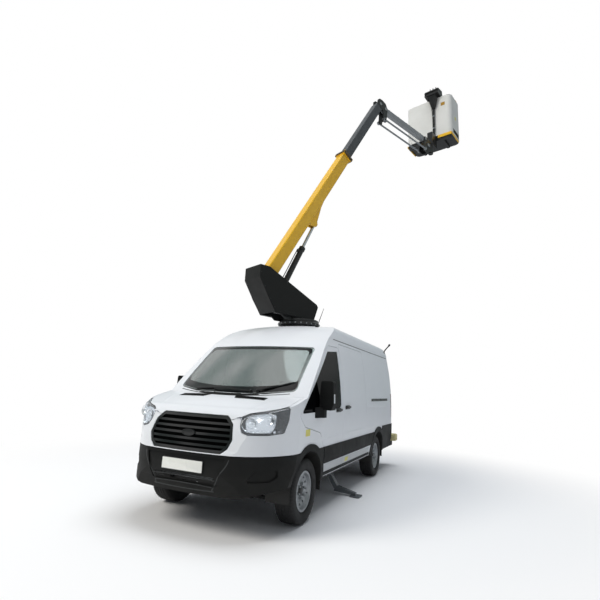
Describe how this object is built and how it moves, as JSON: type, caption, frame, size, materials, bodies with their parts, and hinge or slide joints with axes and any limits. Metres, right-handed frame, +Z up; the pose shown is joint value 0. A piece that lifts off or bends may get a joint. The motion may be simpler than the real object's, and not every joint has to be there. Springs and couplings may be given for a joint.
{
  "type": "cherry picker truck",
  "caption": "White panel van carrying a slewing telescopic boom with a parallelogram jib, a turning work basket and ground stabilisers",
  "frame": {"origin": "on the ground, midway between the front wheels", "axes": "+Z up; the van faces -Y and its left side is +X; the boom at rest points 25 degrees from +Y towards +X"},
  "size_m": [3.7243, 7.7119, 9.755],
  "materials": {
    "white_paint": "gloss",
    "yellow_paint": "satin",
    "grey_paint": "satin",
    "black_paint": "satin",
    "silver_paint": "satin",
    "black_plastic": "textured",
    "dark_trim": "textured",
    "basket_grp": "satin",
    "window_glass": "clear",
    "dark_glass": "tinted",
    "lamp_lens": "clear",
    "red_lens": "clear",
    "tyre_rubber": "tread",
    "seat_cloth": "woven",
    "steel": "machined",
    "cast": "rough",
    "alloy": "finned",
    "underbody_paint": "rough"
  },
  "bodies": {
    "van": {"front_body": "white_paint", "side_left": "white_paint", "side_right": "white_paint", "roof_panel": "white_paint", "sliding_door": "white_paint", "front_bumper": "dark_trim", "windscreen": "window_glass", "grille": "black_plastic", "headlamps": "lamp_lens", "tail_lamps": "red_lens", "cladding": "dark_trim", "floor_pan": "underbody_paint", "bulkhead": "white_paint", "dashboard": "black_plastic", "driver_seat": "seat_cloth", "passenger_seat": "seat_cloth", "chassis_rails": "underbody_paint", "engine_block": "cast", "radiator": "alloy", "front_suspension": "cast", "rear_axle": "cast", "fuel_tank": "black_plastic", "rear_bumper": "dark_trim", "tower": "black_paint"},
    "bonnet": {"bonnet": "white_paint"},
    "door_left": {"door_left": "white_paint", "door_left_glass": "dark_glass", "door_left_fittings": "black_plastic"},
    "door_right": {"door_right": "white_paint", "door_right_glass": "dark_glass", "door_right_fittings": "black_plastic"},
    "rear_door_left": {"rear_door_left": "white_paint"},
    "rear_door_right": {"rear_door_right": "white_paint"},
    "knuckle_left": {"knuckle_left": "cast"},
    "knuckle_right": {"knuckle_right": "cast"},
    "wheel_front_left": {"tyre_front_left": "tyre_rubber", "rim_front_left": "silver_paint"},
    "wheel_front_right": {"tyre_front_right": "tyre_rubber", "rim_front_right": "silver_paint"},
    "wheel_rear_left": {"tyre_rear_left": "tyre_rubber", "rim_rear_left": "silver_paint"},
    "wheel_rear_right": {"tyre_rear_right": "tyre_rubber", "rim_rear_right": "silver_paint"},
    "turret": {"turret_frame": "black_paint", "turret_cover": "black_paint"},
    "boom_outer": {"boom_outer": "yellow_paint"},
    "boom_inner": {"boom_inner": "grey_paint"},
    "boom_head": {"boom_head": "black_paint"},
    "jib_beam": {"jib_beam": "grey_paint"},
    "jib_rods": {"jib_rods": "black_paint"},
    "basket_bracket": {"basket_bracket": "black_paint"},
    "basket": {"basket_carrier": "black_paint", "basket_tub": "basket_grp", "control_console": "black_plastic"},
    "lift_barrel": {"lift_barrel": "black_paint"},
    "lift_rod": {"lift_rod": "steel"},
    "stabiliser_left": {"stabiliser_left": "grey_paint"},
    "stabiliser_right": {"stabiliser_right": "grey_paint"}
  },
  "joints": [
    {"name": "steer_left", "type": "hinge", "parent": "van", "child": "knuckle_left", "pos_m": [0.815, 0, 0.356], "axis": [0, 0, 1], "range_deg": [-35, 35]},
    {"name": "steer_right", "type": "hinge", "parent": "van", "child": "knuckle_right", "pos_m": [-0.815, 0, 0.356], "axis": [0, 0, 1], "range_deg": [-35, 35]},
    {"name": "spin_front_left", "type": "hinge", "parent": "knuckle_left", "child": "wheel_front_left", "pos_m": [0.87, 0, 0.356], "axis": [1, 0, 0], "continuous": true},
    {"name": "spin_front_right", "type": "hinge", "parent": "knuckle_right", "child": "wheel_front_right", "pos_m": [-0.87, 0, 0.356], "axis": [1, 0, 0], "continuous": true},
    {"name": "spin_rear_left", "type": "hinge", "parent": "van", "child": "wheel_rear_left", "pos_m": [0.87, 3.3, 0.356], "axis": [1, 0, 0], "continuous": true},
    {"name": "spin_rear_right", "type": "hinge", "parent": "van", "child": "wheel_rear_right", "pos_m": [-0.87, 3.3, 0.356], "axis": [1, 0, 0], "continuous": true},
    {"name": "door_left_hinge", "type": "hinge", "parent": "van", "child": "door_left", "pos_m": [1.024, -0.326, 1.3], "axis": [0, 0, -1], "range_deg": [0, 68]},
    {"name": "door_right_hinge", "type": "hinge", "parent": "van", "child": "door_right", "pos_m": [-1.024, -0.326, 1.3], "axis": [0, 0, 1], "range_deg": [0, 68]},
    {"name": "rear_door_left_hinge", "type": "hinge", "parent": "van", "child": "rear_door_left", "pos_m": [0.878, 4.5225, 1.4], "axis": [0, 0, -1], "range_deg": [0, 180]},
    {"name": "rear_door_right_hinge", "type": "hinge", "parent": "van", "child": "rear_door_right", "pos_m": [-0.878, 4.5225, 1.4], "axis": [0, 0, 1], "range_deg": [0, 180]},
    {"name": "bonnet_hinge", "type": "hinge", "parent": "van", "child": "bonnet", "pos_m": [0, -0.15, 1.4], "axis": [-1, 0, 0], "range_deg": [0, 55]},
    {"name": "slew", "type": "hinge", "parent": "van", "child": "turret", "pos_m": [0, 1.75, 2.6], "axis": [0, 0, 1], "range_deg": [-180, 180]},
    {"name": "boom_lift", "type": "hinge", "parent": "turret", "child": "boom_outer", "pos_m": [-0.32964, 1.04308, 3.24], "axis": [0.9063, -0.4226, 0], "range_deg": [-59, 19]},
    {"name": "boom_extend", "type": "slide", "parent": "boom_outer", "child": "boom_inner", "axis": [0.2177, 0.4668, 0.8572], "range_m": [-1.75, 0.9]},
    {"name": "head_level", "type": "hinge", "parent": "boom_inner", "child": "boom_head", "pos_m": [0.89146, 3.66173, 8.04871], "axis": [0.9063, -0.4226, 0], "range_deg": [-20, 60]},
    {"name": "jib_lift", "type": "hinge", "parent": "boom_head", "child": "jib_beam", "pos_m": [0.97175, 3.83393, 8.00871], "axis": [0.9063, -0.4226, 0], "range_deg": [-65, 65]},
    {"name": "jib_rod_swing", "type": "hinge", "parent": "boom_head", "child": "jib_rods", "pos_m": [0.9464, 3.77955, 7.68371], "axis": [0.9063, -0.4226, 0], "range_deg": [-66, 66]},
    {"name": "basket_level", "type": "hinge", "parent": "jib_beam", "child": "basket_bracket", "pos_m": [1.6733, 5.3384, 8.00871], "axis": [0.9063, -0.4226, 0], "range_deg": [-66, 66]},
    {"name": "basket_rotate", "type": "hinge", "parent": "basket_bracket", "child": "basket", "pos_m": [1.81699, 5.64655, 8.00871], "axis": [0, 0, 1], "range_deg": [-100, 80]},
    {"name": "lift_cylinder_swing", "type": "hinge", "parent": "turret", "child": "lift_barrel", "pos_m": [-0.21131, 1.29685, 2.98], "axis": [0.9063, -0.4226, 0], "range_deg": [-64, 22]},
    {"name": "lift_cylinder_extend", "type": "slide", "parent": "lift_barrel", "child": "lift_rod", "axis": [0.187, 0.401, 0.8968], "range_m": [-0.372, 0.122]},
    {"name": "stabiliser_left_slide", "type": "slide", "parent": "van", "child": "stabiliser_left", "axis": [0.5592, 0, -0.829], "range_m": [-0.2, 0]},
    {"name": "stabiliser_right_slide", "type": "slide", "parent": "van", "child": "stabiliser_right", "axis": [-0.5592, 0, -0.829], "range_m": [-0.2, 0]}
  ],
  "couplings": [
    {"joint": "steer_right", "follows": "steer_left", "ratio": 1},
    {"joint": "head_level", "follows": "boom_lift", "ratio": -1},
    {"joint": "jib_rod_swing", "follows": "jib_lift", "ratio": 1},
    {"joint": "basket_level", "follows": "jib_lift", "ratio": -1},
    {"joint": "lift_cylinder_swing", "follows": "boom_lift", "ratio": 1.03},
    {"joint": "lift_cylinder_extend", "follows": "boom_lift", "m_per_rad": 0.355}
  ]
}
